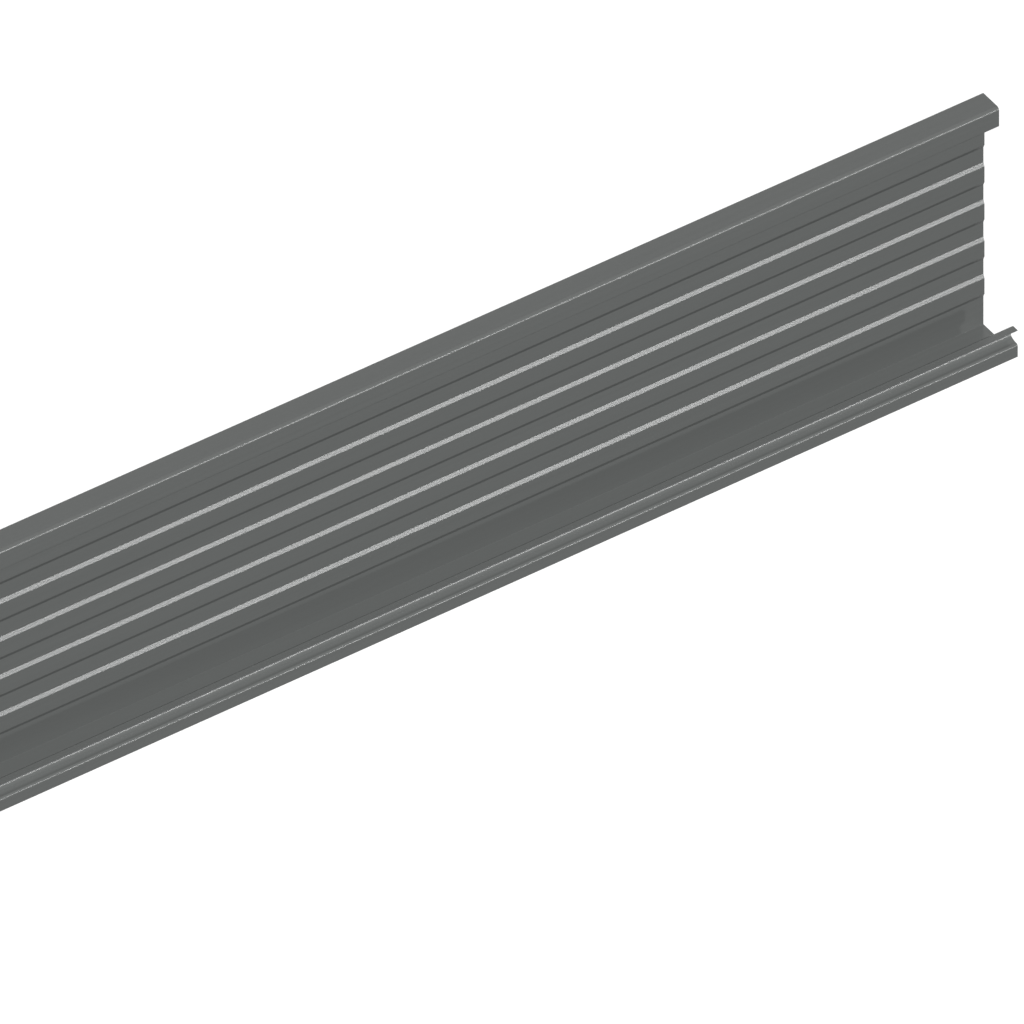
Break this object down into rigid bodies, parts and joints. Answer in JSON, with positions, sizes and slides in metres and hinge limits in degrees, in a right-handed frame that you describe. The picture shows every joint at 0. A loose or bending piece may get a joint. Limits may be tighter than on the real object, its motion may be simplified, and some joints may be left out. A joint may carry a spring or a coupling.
{
  "type": "metal fascia board",
  "caption": "Roll-formed coated steel fascia board with a ribbed web, a lipped top return and a bottom return formed into a groove for the soffit lining.",
  "frame": {"origin": "middle of the board's length and height, on the outer face that the board lies on", "axes": "+X along the board, +Y towards the edge that is its top when fitted, +Z from the outer face towards the roof side"},
  "size_m": [2.4, 0.185, 0.0374],
  "materials": {
    "coated_steel": "satin grey colour coat on zinc-coated steel sheet"
  },
  "bodies": {
    "root": {"fascia_board": "coated_steel"}
  },
  "joints": []
}
